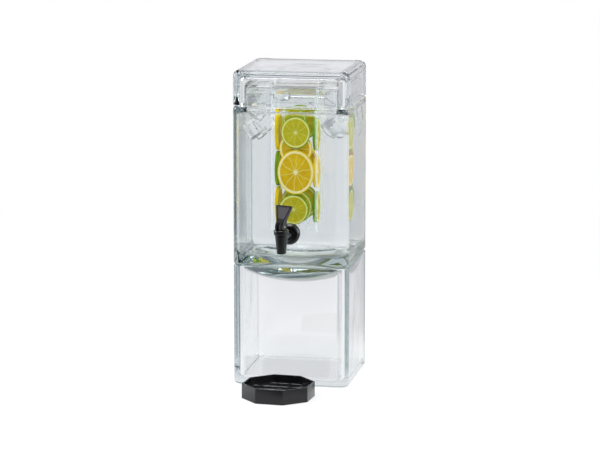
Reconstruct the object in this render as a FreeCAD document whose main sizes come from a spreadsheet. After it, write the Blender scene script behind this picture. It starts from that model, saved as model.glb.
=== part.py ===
import FreeCAD, Part
import math
import os
import Sketcher

# Square glass drink tower: an open glass stand, a glass jar on top of it with a tap in its
# front wall, a fruit infusion chamber hanging in the jar's neck, a glass lid over the neck
# and a loose octagonal drip tray on the table in front.
# Frame: millimetres, +Z up, origin at the centre of the stand's underside, front is -Y.

os.makedirs("parts", exist_ok=True)
doc = FreeCAD.newDocument("DrinkTower")
sheet = doc.addObject("Spreadsheet::Sheet", "Sizes")

SIZES = [
    ("body_wide", 178.0, "outside width and depth of stand, jar and lid"),
    ("corner_round", 14.0, "radius of the outer upright edges"),
    ("base_high", 184.0, "height of the stand"),
    ("base_wall", 10.0, "glass of the stand's walls"),
    ("base_floor", 9.0, "glass of the stand's floor"),
    ("base_inner_round", 10.0, "radius of the stand's inner upright edges"),
    ("base_inner_foot", 6.0, "radius between the stand's walls and its floor"),
    ("foot_round", 5.0, "radius round the stand's underside"),
    ("rim_round", 1.5, "radius on the stand's rim"),
    ("jar_high", 243.0, "jar from underside to shoulder"),
    ("jar_wall", 8.0, "glass of the jar's walls"),
    ("jar_floor", 14.0, "glass of the jar's floor outside the bowl"),
    ("jar_roof", 8.0, "glass of the jar's shoulder"),
    ("jar_inner_round", 12.0, "radius of the jar's inner upright edges"),
    ("jar_inner_foot", 10.0, "radius between the jar's walls and its floor"),
    ("jar_inner_shoulder", 6.0, "radius between the jar's walls and its shoulder, inside"),
    ("jar_round", 6.0, "radius round the jar's underside"),
    ("shoulder_round", 4.0, "radius round the jar's shoulder"),
    ("dome_gap", 2.0, "gap between the rounded bottom and the stand's walls"),
    ("dome_deep", 34.0, "depth of the rounded bottom"),
    ("dome_spread", 1.45, "where the rounded bottom would run out, over half its width"),
    ("dome_edge_round", 2.5, "radius round the rounded bottom's edge"),
    ("bowl_inset", 11.0, "how far the bowl's rim lies inside the rounded bottom"),
    ("bowl_deep", 25.0, "depth of the bowl"),
    ("cap_flat", 4.0, "radius of the flat in the middle of the rounded bottom and the bowl"),
    ("neck_gap", 4.0, "gap between the neck and the lid's walls"),
    ("neck_wall", 6.0, "glass of the neck"),
    ("neck_high", 28.0, "neck above the shoulder"),
    ("neck_round", 10.0, "radius of the neck's upright edges"),
    ("neck_inner_round", 5.0, "radius of the neck's inner upright edges"),
    ("lid_head_gap", 4.5, "gap between the chamber's top and the lid's top"),
    ("lid_wall", 10.0, "glass of the lid's walls"),
    ("lid_top", 10.0, "glass of the lid's top"),
    ("lid_round", 9.0, "radius round the lid's top"),
    ("lid_inner_round", 12.0, "radius of the lid's inner upright edges"),
    ("lid_inner_crown", 5.0, "radius between the lid's walls and its top, inside"),
    ("lid_foot_round", 3.0, "radius round the lid's lower edge"),
    ("collar_thick", 4.0, "thickness of the hanger plate"),
    ("collar_side_gap", 1.0, "how far the hanger plate stops short of the neck's outside"),
    ("collar_lip", 5.0, "height of the lip under the hanger plate"),
    ("collar_lip_wall", 2.5, "thickness of that lip"),
    ("fit_gap", 0.3, "side clearance of loose plastic fits"),
    ("tube_wide", 72.0, "outside width of the infusion chamber"),
    ("tube_wall", 3.5, "wall of the infusion chamber"),
    ("tube_round", 4.0, "radius of the chamber's upright edges"),
    ("tube_long", 231.0, "length of the infusion chamber"),
    ("tube_rise", 8.0, "chamber above the hanger plate"),
    ("tube_flange", 4.0, "width of the flange the chamber hangs by"),
    ("tube_flange_thick", 2.5, "thickness of that flange"),
    ("slit_high", 2.0, "height of the slits in the chamber's side walls"),
    ("slit_long", 44.0, "length of the slits"),
    ("slit_step", 35.75, "spacing of the slits"),
    ("slit_first", 27.0, "lowest slit above the chamber's lower end"),
    ("cap_lip", 3.0, "thickness of the end cap under the chamber"),
    ("cap_plug", 5.5, "height of the end cap inside the chamber"),
    ("cap_hole", 1.9, "radius of the drain holes in the end cap"),
    ("cap_hole_step", 18.0, "spacing of the drain holes"),
    ("slice_thick", 6.0, "thickness of a fruit slice"),
    ("slice_gap", 0.3, "gap between slices and to the chamber"),
    ("fruit_headroom", 43.5, "empty height of the chamber above the fruit"),
    ("tap_high", 52.0, "tap hole above the jar's underside"),
    ("tap_out", 66.0, "spout axis in front of the jar's wall"),
    ("shank_radius", 7.0, "threaded shank of the tap"),
    ("shank_hole_gap", 0.3, "radial clearance of the shank in the glass"),
    ("shank_inside", 20.0, "shank inside the jar"),
    ("shank_bore", 5.4, "radius of the water way in the shank"),
    ("tap_neck", 7.5, "radius of the tap's neck between flange and barrel"),
    ("flange_radius", 16.0, "tap flange in front of the wall"),
    ("flange_thick", 5.0, "thickness of the tap flange"),
    ("flange_bevel", 3.0, "bevel on the front of the tap flange"),
    ("washer_radius", 15.0, "outer radius of the two rubber washers"),
    ("washer_thick", 2.5, "thickness of the washers"),
    ("washer_gap", 0.05, "radial clearance of the washers on the shank"),
    ("nut_flats", 24.0, "width over the flats of the shank nut"),
    ("nut_thick", 9.0, "thickness of the shank nut"),
    ("nut_gap", 0.05, "radial clearance of the nut on the shank"),
    ("spout_drop", 18.5, "spout outlet below the shank axis"),
    ("spout_tip", 6.8, "outside radius of the spout at its outlet"),
    ("barrel_radius", 9.8, "outside radius of the barrel at its top"),
    ("barrel_top", 10.0, "barrel shoulder above the shank axis"),
    ("spigot_radius", 8.8, "radius of the barrel's spigot inside the bonnet"),
    ("spigot_high", 3.4, "height of the spigot"),
    ("outlet_radius", 4.2, "radius of the outlet bore"),
    ("chamber_radius", 5.8, "radius of the valve chamber in the barrel"),
    ("seat_drop", 10.0, "valve seat below the shank axis"),
    ("seal_thick", 1.0, "thickness of the bonnet seal"),
    ("seal_inner", 6.3, "inner radius of the bonnet seal"),
    ("bonnet_radius", 11.4, "outside radius of the bonnet"),
    ("bonnet_lap", 0.3, "gap between the bonnet and the barrel's shoulder"),
    ("bonnet_top", 3.1, "thickness of the bonnet's top"),
    ("bonnet_bevel", 1.2, "bevel round the bonnet's top"),
    ("bonnet_fit", 0.05, "radial clearance of the bonnet on the spigot"),
    ("stem_radius", 2.0, "radius of the valve stem"),
    ("stem_fit", 0.05, "radial clearance of the stem in bonnet and seat cup"),
    ("stem_in_cup", 3.0, "depth of the stem in the seat cup"),
    ("head_lift", 0.7, "stem head above the bonnet when the tap is shut"),
    ("head_wide", 5.0, "width of the stem head across the fork"),
    ("head_deep", 6.0, "depth of the stem head"),
    ("head_over_pin", 3.5, "stem head above the pin axis"),
    ("cup_radius", 5.4, "radius of the seat cup"),
    ("cup_high", 5.5, "height of the seat cup above the seat"),
    ("soft_gap", 0.3, "gap under soft parts"),
    ("coil_radius", 4.4, "mean radius of the return spring"),
    ("coil_wire", 0.4, "wire radius of the return spring"),
    ("coil_turns", 6.0, "turns of the return spring"),
    ("coil_gap", 0.15, "gap at the ends of the spring"),
    ("pin_rise", 5.0, "pin axis above the bonnet's top"),
    ("pin_radius", 1.2, "radius of the handle pin"),
    ("pin_fit", 0.03, "radial clearance of the pin"),
    ("pin_end_gap", 0.2, "how far the pin stops short of the hub's sides"),
    ("cam_gap", 0.1, "gap between the handle's cam and the bonnet"),
    ("cam_rate", 3.581, "lift of the stem per radian of handle tilt"),
    ("hub_wide", 13.0, "width of the handle's fork"),
    ("hub_back", 5.0, "fork behind the pin"),
    ("hub_back_rise", 6.0, "height of the fork's straight back"),
    ("fork_slot", 5.6, "width of the fork's slot"),
    ("fork_roof", 5.4, "roof of the slot above the pin"),
    ("paddle_high", 31.0, "top of the handle above the pin"),
    ("paddle_wide", 28.5, "width of the handle at its top"),
    ("paddle_flare", 9.0, "where the handle starts to widen, above the pin"),
    ("paddle_back", 6.2, "front edge of the handle's top behind the pin"),
    ("paddle_thick", 4.3, "thickness of the handle's top"),
    ("handle_turn", -24.0, "handle turned about the spout axis"),
    ("tray_flat", 51.0, "centre to flat of the octagonal tray"),
    ("tray_high", 22.5, "height of the tray"),
    ("tray_wall", 2.5, "wall of the tray"),
    ("tray_floor", 2.5, "floor of the tray"),
    ("ledge_wide", 2.5, "width of the ledge under the grate"),
    ("ledge_high", 7.5, "ledge above the table"),
    ("tray_side", -4.0, "tray centre to the side of the stand's centre"),
    ("tray_out", 71.0, "tray centre in front of the stand's front"),
    ("tray_turn", -4.9, "tray turned about its centre"),
    ("grate_thick", 3.0, "thickness of the grate"),
    ("grate_gap", 0.3, "side clearance of the grate"),
    ("bar_step", 7.0, "spacing of the grate's slots"),
    ("slot_wide", 3.6, "width of the slots"),
    ("slot_rib", 1.8, "half the width of the rib across the slots"),
    ("grate_rim", 5.0, "solid rim round the slots"),
]

for row, (alias, value, meaning) in enumerate(SIZES, start=1):
    sheet.set(f"A{row}", meaning)
    sheet.set(f"B{row}", str(value))
    sheet.setAlias(f"B{row}", alias)
doc.recompute()

S = "Sizes."
HALF_TURN = 180.0
EDGE_TOLERANCE = 0.01
SHEET_WORDS = sorted((alias for alias, value, meaning in SIZES), key=len, reverse=True)


def size(words):
    """A formula over the sheet's names, spelled as an expression."""
    out = []
    for token in words.replace("(", " ( ").replace(")", " ) ").split():
        out.append(S + token if token in SHEET_WORDS else token)
    text = " ".join(out)
    for function in ("cos", "sin", "min"):
        text = text.replace(function + " (", function + "(")
    return text


def amount(words):
    """The number that a formula stands for now."""
    return float(sheet.evalExpression(size(words)))


def bind(thing, prop, words):
    thing.setExpression(prop, size(words))


def new_body(name):
    body = doc.addObject("PartDesign::Body", name)
    body.Label = name
    return body


def new_sketch(body, name, role, offset="0"):
    """A sketch on one of the body's own origin planes, shifted along the plane's normal."""
    sketch = body.newObject("Sketcher::SketchObject", name)
    plane = next(item for item in body.Origin.OriginFeatures if item.Role == role)
    sketch.AttachmentSupport = [(plane, "")]
    sketch.MapMode = "FlatFace"
    bind(sketch, "AttachmentOffset.Base.z", offset)
    return sketch


def pin_point(sketch, geometry, point, across, up):
    """Ties one point of the sketch to two formulas."""
    for kind, words in (("DistanceX", across), ("DistanceY", up)):
        index = sketch.addConstraint(
            Sketcher.Constraint(kind, -1, 1, geometry, point, amount(words)))
        sketch.setExpression(f"Constraints[{index}]", size(words))


def add_outline(sketch, points):
    """A closed outline of straight lines through the given points."""
    first = sketch.GeometryCount
    spots = [FreeCAD.Vector(amount(u), amount(v), 0) for u, v in points]
    count = len(points)
    for i in range(count):
        sketch.addGeometry(Part.LineSegment(spots[i], spots[(i + 1) % count]))
    for i in range(count):
        following = first + (i + 1) % count
        sketch.addConstraint(Sketcher.Constraint("Coincident", first + i, 2, following, 1))
    for i, (u, v) in enumerate(points):
        pin_point(sketch, first + i, 1, u, v)


def add_circle(sketch, u, v, radius):
    centre = FreeCAD.Vector(amount(u), amount(v), 0)
    circle = Part.Circle(centre, FreeCAD.Vector(0, 0, 1), amount(radius))
    geometry = sketch.addGeometry(circle)
    pin_point(sketch, geometry, 3, u, v)
    index = sketch.addConstraint(Sketcher.Constraint("Radius", geometry, amount(radius)))
    sketch.setExpression(f"Constraints[{index}]", size(radius))


def add_round_square(sketch, half, radius):
    """A centred square with rounded corners."""
    h = amount(half)
    r = amount(radius)
    inset = f"( {half} ) - ( {radius} )"
    i = h - r
    lines = [((-i, -h), (i, -h)), ((h, -i), (h, i)), ((i, h), (-i, h)), ((-h, i), (-h, -i))]
    centres = [(i, -i), (i, i), (-i, i), (-i, -i)]
    for a, b in lines:
        sketch.addGeometry(Part.LineSegment(FreeCAD.Vector(*a, 0), FreeCAD.Vector(*b, 0)))
    for k, centre in enumerate(centres):
        circle = Part.Circle(FreeCAD.Vector(*centre, 0), FreeCAD.Vector(0, 0, 1), r)
        start = (k - 1) * math.pi / 2
        sketch.addGeometry(Part.ArcOfCircle(circle, start, start + math.pi / 2))
    minus = f"0 - ( {inset} )"
    low = f"0 - ( {half} )"
    ends = [((minus, low), (inset, low)), ((half, minus), (half, inset)),
            ((inset, half), (minus, half)), ((low, inset), (low, minus))]
    for k, (a, b) in enumerate(ends):
        pin_point(sketch, k, 1, *a)
        pin_point(sketch, k, 2, *b)
        sketch.addConstraint(Sketcher.Constraint("Coincident", 4 + k, 1, k, 2))
        sketch.addConstraint(Sketcher.Constraint("Coincident", 4 + k, 2, (k + 1) % 4, 1))
    for k, centre in enumerate(centres):
        words = inset if centre[0] > 0 else minus
        index = sketch.addConstraint(
            Sketcher.Constraint("DistanceX", -1, 1, 4 + k, 3, amount(words)))
        sketch.setExpression(f"Constraints[{index}]", size(words))


def pad(body, name, sketch, length, reverse=False, middle=False):
    feature = body.newObject("PartDesign::Pad", name)
    feature.Profile = sketch
    bind(feature, "Length", length)
    feature.Reversed = reverse
    feature.Midplane = middle
    doc.recompute()
    return feature


def pocket(body, name, sketch, length, reverse=False, middle=False):
    feature = body.newObject("PartDesign::Pocket", name)
    feature.Profile = sketch
    bind(feature, "Length", length)
    feature.Reversed = reverse
    feature.Midplane = middle
    doc.recompute()
    return feature


def turn(body, name, sketch, cut=False, axis="V_Axis"):
    kind = "PartDesign::Groove" if cut else "PartDesign::Revolution"
    feature = body.newObject(kind, name)
    feature.Profile = sketch
    feature.ReferenceAxis = (sketch, [axis])
    feature.Angle = 2 * HALF_TURN
    doc.recompute()
    return feature


def level_edges(shape, height):
    """Names of the edges that lie flat at one height of the shape."""
    names = []
    for number, edge in enumerate(shape.Edges, start=1):
        box = edge.BoundBox
        if abs(box.ZMin - height) < EDGE_TOLERANCE and abs(box.ZMax - height) < EDGE_TOLERANCE:
            names.append(f"Edge{number}")
    return names


def fillet(body, name, base, edges, radius):
    feature = body.newObject("PartDesign::Fillet", name)
    feature.Base = (base, edges)
    bind(feature, "Radius", radius)
    doc.recompute()
    return feature


def put(thing, x="0", y="0", z="0"):
    """Places a part by formulas."""
    bind(thing, "Placement.Base.x", x)
    bind(thing, "Placement.Base.y", y)
    bind(thing, "Placement.Base.z", z)


BODY_HALF = "body_wide / 2"
NECK_HALF = "( body_wide / 2 - lid_wall - neck_gap )"
DOME_HALF = "( body_wide / 2 - base_wall - dome_gap )"
BOWL_RADIUS = f"( {DOME_HALF} - bowl_inset )"
LID_HIGH = "( neck_high + collar_thick + tube_rise + lid_head_gap + lid_top )"
FRUIT_HIGH = "( tube_long - cap_plug - fruit_headroom )"
SHOULDER = "base_high + jar_high"
NECK_RIM = SHOULDER + " + neck_high"
TUBE_TOP = NECK_RIM + " + collar_thick + tube_rise"
TUBE_FOOT = TUBE_TOP + " - tube_long"
TAP_Z = "base_high + tap_high"
TAP_Y = "0 - body_wide / 2 - tap_out"

# Stand: an open glass box.
base_box = new_body("base_box")
sketch = new_sketch(base_box, "base_outline", "XY_Plane")
add_round_square(sketch, BODY_HALF, "corner_round")
block = pad(base_box, "base_block", sketch, "base_high")
sketch = new_sketch(base_box, "base_hollow_outline", "XY_Plane", "base_high")
add_round_square(sketch, BODY_HALF + " - base_wall", "base_inner_round")
hollow = pocket(base_box, "base_hollow", sketch, "base_high - base_floor")
edges = level_edges(hollow.Shape, amount("base_floor"))
inside = fillet(base_box, "base_inner_foot_round", hollow, edges, "base_inner_foot")
foot = fillet(base_box, "base_foot_round", inside, level_edges(inside.Shape, 0), "foot_round")
rim_edges = level_edges(foot.Shape, amount("base_high"))
fillet(base_box, "base_rim_round", foot, rim_edges, "rim_round")

# Jar: thick walls, a rounded bottom that dips into the stand, a bowl in the floor and a neck.
vessel = new_body("vessel")
put(vessel, z="base_high")
sketch = new_sketch(vessel, "jar_outline", "XY_Plane")
add_round_square(sketch, BODY_HALF, "corner_round")
block = pad(vessel, "jar_block", sketch, "jar_high")
edges = level_edges(block.Shape, 0)
foot = fillet(vessel, "jar_foot_round", block, edges, "jar_round")
edges = level_edges(foot.Shape, amount("jar_high"))
shoulder = fillet(vessel, "jar_shoulder_round", foot, edges, "shoulder_round")
sketch = new_sketch(vessel, "neck_outline", "XY_Plane", "jar_high")
add_round_square(sketch, NECK_HALF, "neck_round")
pad(vessel, "neck_block", sketch, "neck_high")


HALF_CIRCLE = math.pi


def add_cap_profile(sketch, radius, depth, level, far):
    """Half the section between a shallow round cap, which hangs below a level, and a far level.

    The cap has a flat middle.
    """
    bottom = f"( {level} ) - ( {depth} )"
    reach = f"( ( {radius} ) - cap_flat )"
    round_radius = amount(f"( {reach} * {reach} + ( {depth} ) * ( {depth} ) ) / ( 2 * ( {depth} ) )")
    middle = FreeCAD.Vector(amount("cap_flat"), amount(bottom) + round_radius, 0)
    start = -HALF_CIRCLE / 2
    end = start + math.asin(amount(reach) / round_radius)
    circle = Part.Circle(middle, FreeCAD.Vector(0, 0, 1), round_radius)
    sketch.addGeometry(Part.ArcOfCircle(circle, start, end))
    corners = [(radius, level), (radius, far), ("0", far), ("0", bottom), ("cap_flat", bottom)]
    places = [FreeCAD.Vector(amount(x), amount(y), 0) for x, y in corners]
    for k in range(1, len(places)):
        sketch.addGeometry(Part.LineSegment(places[k - 1], places[k]))
    for k in range(1, len(places) - 1):
        sketch.addConstraint(Sketcher.Constraint("Coincident", k, 2, k + 1, 1))
    sketch.addConstraint(Sketcher.Constraint("Coincident", 0, 2, 1, 1))
    sketch.addConstraint(Sketcher.Constraint("Coincident", len(places) - 1, 2, 0, 1))
    for k, (x, y) in enumerate(corners[:-1], 1):
        pin_point(sketch, k, 1, x, y)
    pin_point(sketch, 0, 1, *corners[-1])
    index = sketch.addConstraint(
        Sketcher.Constraint("DistanceX", -1, 1, 0, 3, amount("cap_flat")))
    sketch.setExpression(f"Constraints[{index}]", size("cap_flat"))


def hanging_edges(shape):
    """Names of the edges between the rounded bottom and the sides above it."""
    names = []
    lowest = -amount("dome_deep")
    for number, edge in enumerate(shape.Edges, start=1):
        box = edge.BoundBox
        slanted = box.ZMax < -EDGE_TOLERANCE and box.ZMin > lowest + EDGE_TOLERANCE
        if slanted and max(box.XLength, box.YLength) > EDGE_TOLERANCE:
            names.append(f"Edge{number}")
    return names


sketch = new_sketch(vessel, "dome_outline", "XY_Plane")
add_round_square(sketch, DOME_HALF, "jar_inner_round")
pad(vessel, "dome_block", sketch, "dome_deep", reverse=True)
sketch = new_sketch(vessel, "dome_profile", "XZ_Plane")
add_cap_profile(sketch, f"{DOME_HALF} * dome_spread", "dome_deep", "0", "0 - dome_deep - 1")
dome = turn(vessel, "dome", sketch, cut=True)
edges = hanging_edges(dome.Shape)
fillet(vessel, "dome_edge", dome, edges, "dome_edge_round")
sketch = new_sketch(vessel, "jar_hollow_outline", "XY_Plane", "jar_floor")
add_round_square(sketch, BODY_HALF + " - jar_wall", "jar_inner_round")
hollow = pocket(
    vessel, "jar_hollow", sketch, "jar_high - jar_floor - jar_roof", reverse=True)
edges = level_edges(hollow.Shape, amount("jar_floor"))
floor = fillet(vessel, "jar_inner_foot_round", hollow, edges, "jar_inner_foot")
edges = level_edges(floor.Shape, amount("jar_high - jar_roof"))
fillet(vessel, "jar_inner_shoulder_round", floor, edges, "jar_inner_shoulder")
sketch = new_sketch(vessel, "neck_bore_outline", "XY_Plane", "jar_high + neck_high")
add_round_square(sketch, NECK_HALF + " - neck_wall", "neck_inner_round")
pocket(vessel, "neck_bore", sketch, "neck_high + jar_roof")
sketch = new_sketch(vessel, "bowl_profile", "XZ_Plane")
add_cap_profile(sketch, BOWL_RADIUS, "bowl_deep", "jar_floor", "jar_floor + 2")
turn(vessel, "bowl", sketch, cut=True)
sketch = new_sketch(vessel, "tap_hole_outline", "XZ_Plane", BODY_HALF)
add_circle(sketch, "0", "tap_high", "shank_radius + shank_hole_gap")
pocket(vessel, "tap_hole", sketch, "jar_wall * 1.5")

# Lid: a glass cap over the neck, resting on the shoulder.
lid = new_body("lid")
put(lid, z=SHOULDER)
sketch = new_sketch(lid, "lid_outline", "XY_Plane")
add_round_square(sketch, BODY_HALF, "corner_round")
block = pad(lid, "lid_block", sketch, LID_HIGH)
edges = level_edges(block.Shape, amount(LID_HIGH))
crown = fillet(lid, "lid_crown_round", block, edges, "lid_round")
edges = level_edges(crown.Shape, 0)
fillet(lid, "lid_foot_edge", crown, edges, "lid_foot_round")
sketch = new_sketch(lid, "lid_hollow_outline", "XY_Plane")
add_round_square(sketch, BODY_HALF + " - lid_wall", "lid_inner_round")
hollow = pocket(lid, "lid_hollow", sketch, LID_HIGH + " - lid_top", reverse=True)
edges = level_edges(hollow.Shape, amount(LID_HIGH + " - lid_top"))
fillet(lid, "lid_inner_crown_round", hollow, edges, "lid_inner_crown")

# Hanger plate: a square plate on the neck's rim with a lip inside the neck.
collar = new_body("infusion_collar")
put(collar, z=NECK_RIM)
sketch = new_sketch(collar, "collar_outline", "XY_Plane")
add_round_square(sketch, NECK_HALF + " - collar_side_gap", "neck_round")
pad(collar, "collar_plate", sketch, "collar_thick")
sketch = new_sketch(collar, "lip_outline", "XY_Plane")
LIP_HALF = NECK_HALF + " - neck_wall - fit_gap"
add_round_square(sketch, LIP_HALF, "neck_inner_round")
pad(collar, "collar_lip_block", sketch, "collar_lip", reverse=True)
sketch = new_sketch(collar, "lip_hollow_outline", "XY_Plane")
add_round_square(sketch, LIP_HALF + " - collar_lip_wall", "neck_inner_round / 2")
pocket(collar, "collar_lip_hollow", sketch, "collar_lip + 1")
sketch = new_sketch(collar, "collar_window", "XY_Plane", "collar_thick")
add_round_square(sketch, "tube_wide / 2 + fit_gap", "tube_round")
pocket(collar, "collar_opening", sketch, "collar_thick + 1")

# Infusion chamber: a clear square tube that hangs by a flange in the hanger plate.
tube = new_body("infusion_tube")
put(tube, z=TUBE_FOOT)
sketch = new_sketch(tube, "tube_outline", "XY_Plane")
add_round_square(sketch, "tube_wide / 2", "tube_round")
pad(tube, "tube_block", sketch, "tube_long")
sketch = new_sketch(tube, "tube_flange_outline", "XY_Plane", "tube_long - tube_rise")
add_round_square(sketch, "tube_wide / 2 + tube_flange", "tube_round")
pad(tube, "tube_flange_block", sketch, "tube_flange_thick")
sketch = new_sketch(tube, "tube_bore_outline", "XY_Plane", "tube_long")
add_round_square(sketch, "tube_wide / 2 - tube_wall", "tube_round / 2")
pocket(tube, "tube_bore", sketch, "tube_long + 1")
sketch = new_sketch(tube, "slit_outline", "YZ_Plane")
SLIT_LOW = "slit_first - slit_high / 2"
SLIT_TOP = "slit_first + slit_high / 2"
SLIT_END = "slit_long / 2"
add_outline(sketch, [("0 - " + SLIT_END, SLIT_LOW), (SLIT_END, SLIT_LOW),
                     (SLIT_END, SLIT_TOP), ("0 - " + SLIT_END, SLIT_TOP)])
slit = pocket(tube, "slit", sketch, "tube_wide * 1.5", middle=True)
SLIT_ROWS = 6
rows = tube.newObject("PartDesign::LinearPattern", "slit_rows")
rows.Originals = [slit]
rows.Direction = (sketch, ["V_Axis"])
bind(rows, "Length", f"slit_step * {SLIT_ROWS - 1}")
rows.Occurrences = SLIT_ROWS
tube.Tip = rows
doc.recompute()

# End cap of the chamber, with drain holes.
cap = new_body("infusion_floor")
put(cap, z=TUBE_FOOT)
sketch = new_sketch(cap, "cap_lip_outline", "XY_Plane")
add_round_square(sketch, "tube_wide / 2", "tube_round")
pad(cap, "cap_lip_block", sketch, "cap_lip", reverse=True)
sketch = new_sketch(cap, "cap_plug_outline", "XY_Plane")
add_round_square(sketch, "tube_wide / 2 - tube_wall - fit_gap", "tube_round / 2")
pad(cap, "cap_plug_block", sketch, "cap_plug")
sketch = new_sketch(cap, "drain_outline", "XY_Plane", "cap_plug")
for column in (-1, 0, 1):
    for line in (-1, 0, 1):
        add_circle(sketch, f"cap_hole_step * {column}", f"cap_hole_step * {line}", "cap_hole")
pocket(cap, "drain_holes", sketch, "cap_plug + cap_lip + 1")

# Fruit: round slices packed flat against the chamber's four walls and behind the front ones.
# Each row: fruit, layer, place along the wall as part of the chamber's inside width, height and
# half height as parts of the stack's height, and half width as part of the inside width.
# No slice is wider than it is high.
TUBE_INSIDE = "( tube_wide - 2 * tube_wall )"
SLICES = [
    ("lime", "front", -0.028, 0.1320, 0.1270, 0.350),
    ("lemon", "front", 0.019, 0.4494, 0.1878, 0.435),
    ("lime", "front", 0.018, 0.7840, 0.1335, 0.349),
    ("lemon", "left", 0.0, 0.1573, 0.1525, 0.388),
    ("lime", "left", 0.0, 0.4610, 0.1480, 0.388),
    ("lemon", "left", 0.0, 0.7925, 0.1800, 0.388),
    ("lime", "right", 0.0, 0.140, 0.1340, 0.375),
    ("lemon", "right", 0.0, 0.440, 0.1358, 0.380),
    ("lime", "right", 0.0, 0.755, 0.1375, 0.385),
    ("lime", "middle", 0.075, 0.1540, 0.1320, 0.322),
    ("lemon", "middle", 0.008, 0.6450, 0.1390, 0.388),
    ("lime", "middle", -0.020, 0.8885, 0.0990, 0.277),
    ("lime", "back", 0.0, 0.165, 0.1572, 0.440),
    ("lemon", "back", 0.0, 0.500, 0.1572, 0.440),
    ("lime", "back", 0.0, 0.832, 0.1537, 0.430),
]
QUARTER = HALF_TURN / 2
WALL_REACH = TUBE_INSIDE + " / 2 - slice_gap"
SECOND_REACH = WALL_REACH + " - slice_thick - slice_gap"
FLOOR_TOP = TUBE_FOOT + " + cap_plug"
groups = {"lemon": [], "lime": []}
for number, (fruit, layer, along, height, half_high, half_wide) in enumerate(SLICES, start=1):
    oval = doc.addObject("Part::Ellipse", f"slice_outline_{number}")
    bind(oval, "MajorRadius", f"{FRUIT_HIGH} * {half_high}")
    bind(oval, "MinorRadius", f"min({TUBE_INSIDE} * {half_wide}; {FRUIT_HIGH} * {half_high})")
    slab = doc.addObject("Part::Extrusion", f"slice_{number}")
    slab.Base = oval
    slab.DirMode = "Custom"
    slab.Dir = FreeCAD.Vector(0, 0, 1)
    slab.Solid = True
    bind(slab, "LengthFwd", "slice_thick")
    centre_z = f"{FLOOR_TOP} + {FRUIT_HIGH} * {height}"
    if layer in ("left", "right"):
        to_side = FreeCAD.Rotation(FreeCAD.Vector(0, 1, 0), QUARTER)
        slab.Placement = FreeCAD.Placement(FreeCAD.Vector(0, 0, 0), to_side)
        start = f"0 - ( {WALL_REACH} )" if layer == "left" else f"{WALL_REACH} - slice_thick"
        put(slab, x=start, y=f"{TUBE_INSIDE} * {along}", z=centre_z)
    else:
        face_back = FreeCAD.Rotation(FreeCAD.Vector(1, 0, 0), -QUARTER)
        stand_up = FreeCAD.Rotation(FreeCAD.Vector(0, 0, 1), QUARTER)
        turned = face_back.multiply(stand_up)
        slab.Placement = FreeCAD.Placement(FreeCAD.Vector(0, 0, 0), turned)
        starts = {
            "front": f"0 - ( {WALL_REACH} )",
            "middle": f"0 - ( {SECOND_REACH} )",
            "back": f"{WALL_REACH} - slice_thick",
        }
        put(slab, x=f"{TUBE_INSIDE} * {along}", y=starts[layer], z=centre_z)
    groups[fruit].append(slab)
fruit_nodes = []
for fruit, members in groups.items():
    group = doc.addObject("Part::Compound", f"{fruit}_slices")
    group.Label = f"{fruit}_slices"
    group.Links = members
    fruit_nodes.append(group)
doc.recompute()

# Tap body: shank, flange, neck and a tapered upright barrel with the spout, in one moulding.
# Its own frame sits where the shank axis meets the spout axis.
faucet = new_body("faucet_body")
put(faucet, y=TAP_Y, z=TAP_Z)
sketch = new_sketch(faucet, "barrel_profile", "XZ_Plane")
add_outline(sketch, [
    ("0", "0 - spout_drop"), ("spout_tip", "0 - spout_drop"),
    ("barrel_radius", "barrel_top"), ("spigot_radius", "barrel_top"),
    ("spigot_radius", "barrel_top + spigot_high"), ("0", "barrel_top + spigot_high")])
turn(faucet, "barrel", sketch)
sketch = new_sketch(faucet, "tap_neck_outline", "XZ_Plane")
add_circle(sketch, "0", "0", "tap_neck")
pad(faucet, "tap_neck_block", sketch, "tap_out - washer_thick", reverse=True)
sketch = new_sketch(faucet, "flange_profile", "YZ_Plane")
FLANGE_BACK = "tap_out - washer_thick"
add_outline(sketch, [
    (FLANGE_BACK + " - flange_thick", "0"),
    (FLANGE_BACK + " - flange_thick", "flange_radius - flange_bevel"),
    (FLANGE_BACK + " - flange_thick + flange_bevel", "flange_radius"),
    (FLANGE_BACK, "flange_radius"), (FLANGE_BACK, "0")])
turn(faucet, "flange", sketch, axis="H_Axis")
sketch = new_sketch(faucet, "shank_outline", "XZ_Plane")
add_circle(sketch, "0", "0", "shank_radius")
SHANK_END = "tap_out + jar_wall + shank_inside"
bind(sketch, "AttachmentOffset.Base.z", "0 - ( " + FLANGE_BACK + " - flange_thick / 2 )")
pad(faucet, "shank", sketch, f"{SHANK_END} - ( {FLANGE_BACK} - flange_thick / 2 )", reverse=True)
sketch = new_sketch(faucet, "valve_bore_profile", "XZ_Plane")
add_outline(sketch, [
    ("0", "0 - spout_drop - 1"), ("outlet_radius", "0 - spout_drop - 1"),
    ("outlet_radius", "0 - seat_drop"), ("chamber_radius", "0 - seat_drop"),
    ("chamber_radius", "barrel_top + spigot_high + 1"),
    ("0", "barrel_top + spigot_high + 1")])
turn(faucet, "valve_bore", sketch, cut=True)
sketch = new_sketch(faucet, "water_way_outline", "XZ_Plane")
add_circle(sketch, "0", "0", "shank_bore")
pocket(faucet, "water_way", sketch, SHANK_END + " + 1")


def ring_on_shank(name, start, thick, outer, inner):
    """A flat ring round the shank, between two distances behind the spout axis."""
    body = new_body(name)
    put(body, y=TAP_Y, z=TAP_Z)
    ring = new_sketch(body, name + "_outline", "XZ_Plane", f"0 - ( {start} )")
    add_circle(ring, "0", "0", outer)
    add_circle(ring, "0", "0", inner)
    pad(body, name + "_ring", ring, thick, reverse=True)
    return body


outer_washer = ring_on_shank(
    "outer_washer", FLANGE_BACK, "washer_thick", "washer_radius", "shank_radius + washer_gap")
inner_washer = ring_on_shank(
    "inner_washer", "tap_out + jar_wall", "washer_thick", "washer_radius",
    "shank_radius + washer_gap")

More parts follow.
